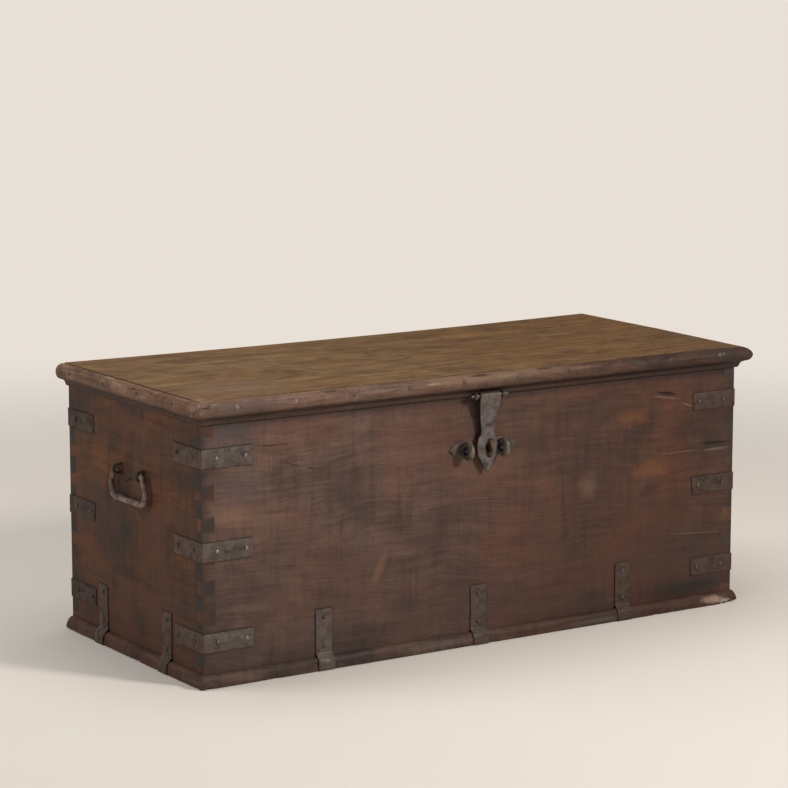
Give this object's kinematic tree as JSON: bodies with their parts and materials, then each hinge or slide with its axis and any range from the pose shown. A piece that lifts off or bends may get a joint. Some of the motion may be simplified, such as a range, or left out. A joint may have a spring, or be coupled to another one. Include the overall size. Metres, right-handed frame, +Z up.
{
  "type": "chest",
  "caption": "Low plank chest with dovetailed corners, hinged lid, rounded edge mouldings, forged iron straps, a hasp with a bored eye between lock eyes, and drop handles.",
  "frame": {"origin": "middle of the walls' outline on the underside, where the chest meets the floor", "axes": "+X along the chest towards its right end as seen from the front, +Y towards the hinges at the back, +Z up"},
  "size_m": [1.2064, 0.5453, 0.498],
  "materials": {
    "wall_wood": "dry, dark, worn",
    "lid_wood": "bleached, worn smooth",
    "trim_wood": "worn, chipped edges",
    "plain_wood": "bare",
    "strap_iron": "forged, rusted, rubbed",
    "lock_iron": "forged, mottled, rubbed",
    "nail_iron": "forged, rubbed bright"
  },
  "bodies": {
    "case": {"front_board_bottom": "wall_wood", "front_board_middle": "wall_wood", "front_board_top": "wall_wood", "base_moulding_front": "trim_wood", "base_straps_front": "strap_iron", "front_nails": "nail_iron", "back_board_bottom": "wall_wood", "back_board_middle": "wall_wood", "back_board_top": "wall_wood", "base_moulding_back": "trim_wood", "base_straps_back": "strap_iron", "back_nails": "nail_iron", "left_board_bottom": "wall_wood", "left_board_middle": "wall_wood", "left_board_top": "wall_wood", "base_moulding_left": "trim_wood", "base_straps_left": "strap_iron", "left_nails": "nail_iron", "right_board_bottom": "wall_wood", "right_board_middle": "wall_wood", "right_board_top": "wall_wood", "base_moulding_right": "trim_wood", "base_straps_right": "strap_iron", "right_nails": "nail_iron", "floor_board_front": "plain_wood", "floor_board_middle": "plain_wood", "floor_board_back": "plain_wood", "corner_straps_front_left": "strap_iron", "corner_straps_front_right": "strap_iron", "corner_straps_back_right": "strap_iron", "corner_straps_back_left": "strap_iron", "lock_eye_left": "lock_iron", "lock_plate_left": "lock_iron", "handle_staples_left": "strap_iron", "hinge_leaf_case_left": "strap_iron", "hinge_pin_left": "strap_iron", "lock_eye_right": "lock_iron", "lock_plate_right": "lock_iron", "handle_staples_right": "strap_iron", "hinge_leaf_case_right": "strap_iron", "hinge_pin_right": "strap_iron"},
    "lid": {"lid_board_front": "lid_wood", "lid_board_middle": "lid_wood", "lid_board_back": "lid_wood", "lid_moulding_front": "trim_wood", "lid_moulding_left": "trim_wood", "lid_moulding_right": "trim_wood", "lid_batten_left": "plain_wood", "hinge_leaf_lid_left": "strap_iron", "lid_batten_right": "plain_wood", "hinge_leaf_lid_right": "strap_iron", "lid_moulding_nails": "nail_iron", "lid_underside_nails": "nail_iron", "hasp_staples": "lock_iron", "hasp_pin": "lock_iron"},
    "hasp": {"hasp": "lock_iron", "hasp_eye": "lock_iron"},
    "handle_left": {"handle_left": "strap_iron"},
    "handle_right": {"handle_right": "strap_iron"}
  },
  "joints": [
    {"name": "lid_hinge", "type": "hinge", "parent": "case", "child": "lid", "pos_m": [0, 0.2545, 0.4675], "axis": [-1, 0, 0], "range_deg": [0, 105]},
    {"name": "hasp_swing", "type": "hinge", "parent": "lid", "child": "hasp", "pos_m": [0, -0.2655, 0.457], "axis": [-1, 0, 0], "range_deg": [0, 95]},
    {"name": "handle_left_swing", "type": "hinge", "parent": "case", "child": "handle_left", "pos_m": [-0.5855, 0, 0.335], "axis": [0, 1, 0], "range_deg": [0, 175]},
    {"name": "handle_right_swing", "type": "hinge", "parent": "case", "child": "handle_right", "pos_m": [0.5855, 0, 0.335], "axis": [0, -1, 0], "range_deg": [0, 175]}
  ]
}
